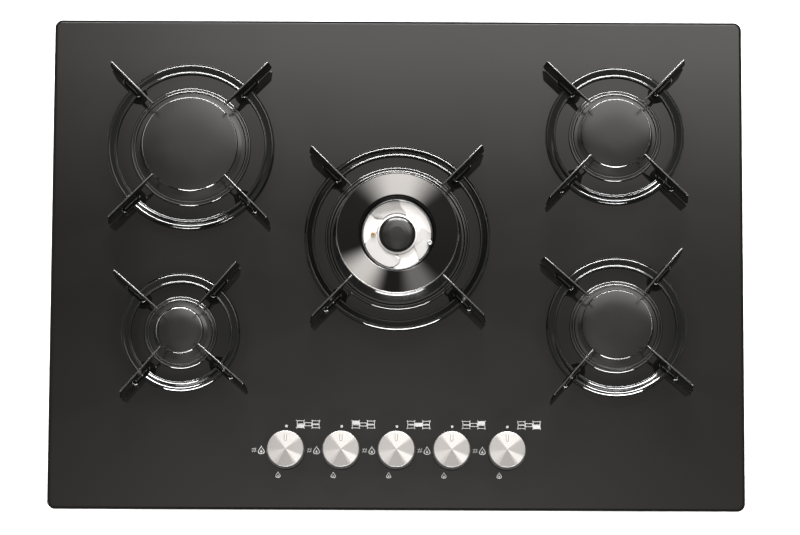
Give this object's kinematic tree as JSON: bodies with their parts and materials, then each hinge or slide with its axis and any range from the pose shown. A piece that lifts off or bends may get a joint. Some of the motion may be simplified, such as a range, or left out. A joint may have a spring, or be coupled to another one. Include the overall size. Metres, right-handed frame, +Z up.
{
  "type": "gas cooktop",
  "caption": "Built-in black glass gas cooktop with wok, rapid, semi-rapid and auxiliary burners, separate enamelled pan supports and front push-and-turn knobs.",
  "frame": {"origin": "centre of the underside of the steel bottom tray, on the plane the cooktop stands on when it is out of its worktop", "axes": "+Z up out of the glass, +X to the right along the knob row, +Y from the knobs towards the rear edge"},
  "size_m": [0.7, 0.5, 0.111],
  "materials": {
    "black_glass": "polished toughened glass, opaque black",
    "black_enamel": "gloss vitreous enamel",
    "galvanised_steel": "galvanised sheet",
    "foam_seal": "closed-cell foam",
    "bright_aluminium": "bright machined",
    "satin_cap": "dark satin, spun",
    "spun_aluminium": "spun satin",
    "cast_aluminium": "die cast",
    "brass": "machined",
    "steel": "plated",
    "ceramic": "glazed alumina",
    "moulded_plastic": "fine matte"
  },
  "bodies": {
    "cooktop": {"glass_top": "black_glass", "bottom_tray": "galvanised_steel", "worktop_seal": "foam_seal", "gas_rail": "steel", "gas_inlet_elbow": "brass", "spark_generator": "moulded_plastic", "terminal_block": "moulded_plastic", "rapid_trim_ring": "black_enamel", "rapid_injector_cup": "cast_aluminium", "rapid_spark_electrode": "ceramic", "rear_semi_rapid_trim_ring": "black_enamel", "rear_semi_rapid_injector_cup": "cast_aluminium", "rear_semi_rapid_spark_electrode": "ceramic", "front_semi_rapid_trim_ring": "black_enamel", "front_semi_rapid_injector_cup": "cast_aluminium", "front_semi_rapid_spark_electrode": "ceramic", "auxiliary_trim_ring": "black_enamel", "auxiliary_injector_cup": "cast_aluminium", "auxiliary_spark_electrode": "ceramic", "wok_trim_ring": "black_enamel", "wok_injector_cup": "cast_aluminium", "wok_spark_electrode": "ceramic", "wok_thermocouple": "steel", "auxiliary_tap_body": "cast_aluminium", "rapid_tap_body": "cast_aluminium", "wok_tap_body": "cast_aluminium", "rear_semi_rapid_tap_body": "cast_aluminium", "front_semi_rapid_tap_body": "cast_aluminium"},
    "rapid_crown": {"rapid_crown": "cast_aluminium"},
    "rapid_cap": {"rapid_cap": "black_enamel"},
    "rapid_pan_support": {"rapid_pan_support": "black_enamel"},
    "rear_semi_rapid_crown": {"rear_semi_rapid_crown": "cast_aluminium"},
    "rear_semi_rapid_cap": {"rear_semi_rapid_cap": "black_enamel"},
    "rear_semi_rapid_pan_support": {"rear_semi_rapid_pan_support": "black_enamel"},
    "front_semi_rapid_crown": {"front_semi_rapid_crown": "cast_aluminium"},
    "front_semi_rapid_cap": {"front_semi_rapid_cap": "black_enamel"},
    "front_semi_rapid_pan_support": {"front_semi_rapid_pan_support": "black_enamel"},
    "auxiliary_crown": {"auxiliary_crown": "cast_aluminium"},
    "auxiliary_cap": {"auxiliary_cap": "black_enamel"},
    "auxiliary_pan_support": {"auxiliary_pan_support": "black_enamel"},
    "wok_crown": {"wok_crown": "bright_aluminium"},
    "wok_ring_cap": {"wok_ring_cap": "satin_cap"},
    "wok_centre_cap": {"wok_centre_cap": "black_enamel"},
    "wok_pan_support": {"wok_pan_support": "black_enamel"},
    "auxiliary_tap_plug": {"auxiliary_tap_plug": "brass"},
    "auxiliary_knob": {"auxiliary_knob": "spun_aluminium", "auxiliary_spindle": "steel"},
    "rapid_tap_plug": {"rapid_tap_plug": "brass"},
    "rapid_knob": {"rapid_knob": "spun_aluminium", "rapid_spindle": "steel"},
    "wok_tap_plug": {"wok_tap_plug": "brass"},
    "wok_knob": {"wok_knob": "spun_aluminium", "wok_spindle": "steel"},
    "rear_semi_rapid_tap_plug": {"rear_semi_rapid_tap_plug": "brass"},
    "rear_semi_rapid_knob": {"rear_semi_rapid_knob": "spun_aluminium", "rear_semi_rapid_spindle": "steel"},
    "front_semi_rapid_tap_plug": {"front_semi_rapid_tap_plug": "brass"},
    "front_semi_rapid_knob": {"front_semi_rapid_knob": "spun_aluminium", "front_semi_rapid_spindle": "steel"}
  },
  "joints": [
    {"name": "rapid_crown_lift", "type": "slide", "parent": "cooktop", "child": "rapid_crown", "axis": [0, 0, 1], "range_m": [0, 0.06]},
    {"name": "rapid_cap_lift", "type": "slide", "parent": "rapid_crown", "child": "rapid_cap", "axis": [0, 0, 1], "range_m": [0, 0.045]},
    {"name": "rapid_pan_support_lift", "type": "slide", "parent": "cooktop", "child": "rapid_pan_support", "axis": [0, 0, 1], "range_m": [0, 0.07]},
    {"name": "rear_semi_rapid_crown_lift", "type": "slide", "parent": "cooktop", "child": "rear_semi_rapid_crown", "axis": [0, 0, 1], "range_m": [0, 0.06]},
    {"name": "rear_semi_rapid_cap_lift", "type": "slide", "parent": "rear_semi_rapid_crown", "child": "rear_semi_rapid_cap", "axis": [0, 0, 1], "range_m": [0, 0.045]},
    {"name": "rear_semi_rapid_pan_support_lift", "type": "slide", "parent": "cooktop", "child": "rear_semi_rapid_pan_support", "axis": [0, 0, 1], "range_m": [0, 0.07]},
    {"name": "front_semi_rapid_crown_lift", "type": "slide", "parent": "cooktop", "child": "front_semi_rapid_crown", "axis": [0, 0, 1], "range_m": [0, 0.06]},
    {"name": "front_semi_rapid_cap_lift", "type": "slide", "parent": "front_semi_rapid_crown", "child": "front_semi_rapid_cap", "axis": [0, 0, 1], "range_m": [0, 0.045]},
    {"name": "front_semi_rapid_pan_support_lift", "type": "slide", "parent": "cooktop", "child": "front_semi_rapid_pan_support", "axis": [0, 0, 1], "range_m": [0, 0.07]},
    {"name": "auxiliary_crown_lift", "type": "slide", "parent": "cooktop", "child": "auxiliary_crown", "axis": [0, 0, 1], "range_m": [0, 0.06]},
    {"name": "auxiliary_cap_lift", "type": "slide", "parent": "auxiliary_crown", "child": "auxiliary_cap", "axis": [0, 0, 1], "range_m": [0, 0.045]},
    {"name": "auxiliary_pan_support_lift", "type": "slide", "parent": "cooktop", "child": "auxiliary_pan_support", "axis": [0, 0, 1], "range_m": [0, 0.07]},
    {"name": "wok_crown_lift", "type": "slide", "parent": "cooktop", "child": "wok_crown", "axis": [0, 0, 1], "range_m": [0, 0.07]},
    {"name": "wok_ring_cap_lift", "type": "slide", "parent": "wok_crown", "child": "wok_ring_cap", "axis": [0, 0, 1], "range_m": [0, 0.045]},
    {"name": "wok_centre_cap_lift", "type": "slide", "parent": "wok_crown", "child": "wok_centre_cap", "axis": [0, 0, 1], "range_m": [0, 0.045]},
    {"name": "wok_pan_support_lift", "type": "slide", "parent": "cooktop", "child": "wok_pan_support", "axis": [0, 0, 1], "range_m": [0, 0.07]},
    {"name": "auxiliary_knob_turn", "type": "hinge", "parent": "cooktop", "child": "auxiliary_tap_plug", "pos_m": [-0.111, -0.19, 0.03], "axis": [0, 0, 1], "range_deg": [0, 165]},
    {"name": "auxiliary_knob_press", "type": "slide", "parent": "auxiliary_tap_plug", "child": "auxiliary_knob", "axis": [0, 0, -1], "range_m": [0, 0.003], "stiffness_N_per_m": 400, "springref_m": -0.006},
    {"name": "rapid_knob_turn", "type": "hinge", "parent": "cooktop", "child": "rapid_tap_plug", "pos_m": [-0.0555, -0.19, 0.03], "axis": [0, 0, 1], "range_deg": [0, 165]},
    {"name": "rapid_knob_press", "type": "slide", "parent": "rapid_tap_plug", "child": "rapid_knob", "axis": [0, 0, -1], "range_m": [0, 0.003], "stiffness_N_per_m": 400, "springref_m": -0.006},
    {"name": "wok_knob_turn", "type": "hinge", "parent": "cooktop", "child": "wok_tap_plug", "pos_m": [0, -0.19, 0.03], "axis": [0, 0, 1], "range_deg": [0, 165]},
    {"name": "wok_knob_press", "type": "slide", "parent": "wok_tap_plug", "child": "wok_knob", "axis": [0, 0, -1], "range_m": [0, 0.003], "stiffness_N_per_m": 400, "springref_m": -0.006},
    {"name": "rear_semi_rapid_knob_turn", "type": "hinge", "parent": "cooktop", "child": "rear_semi_rapid_tap_plug", "pos_m": [0.0555, -0.19, 0.03], "axis": [0, 0, 1], "range_deg": [0, 165]},
    {"name": "rear_semi_rapid_knob_press", "type": "slide", "parent": "rear_semi_rapid_tap_plug", "child": "rear_semi_rapid_knob", "axis": [0, 0, -1], "range_m": [0, 0.003], "stiffness_N_per_m": 400, "springref_m": -0.006},
    {"name": "front_semi_rapid_knob_turn", "type": "hinge", "parent": "cooktop", "child": "front_semi_rapid_tap_plug", "pos_m": [0.111, -0.19, 0.03], "axis": [0, 0, 1], "range_deg": [0, 165]},
    {"name": "front_semi_rapid_knob_press", "type": "slide", "parent": "front_semi_rapid_tap_plug", "child": "front_semi_rapid_knob", "axis": [0, 0, -1], "range_m": [0, 0.003], "stiffness_N_per_m": 400, "springref_m": -0.006}
  ]
}
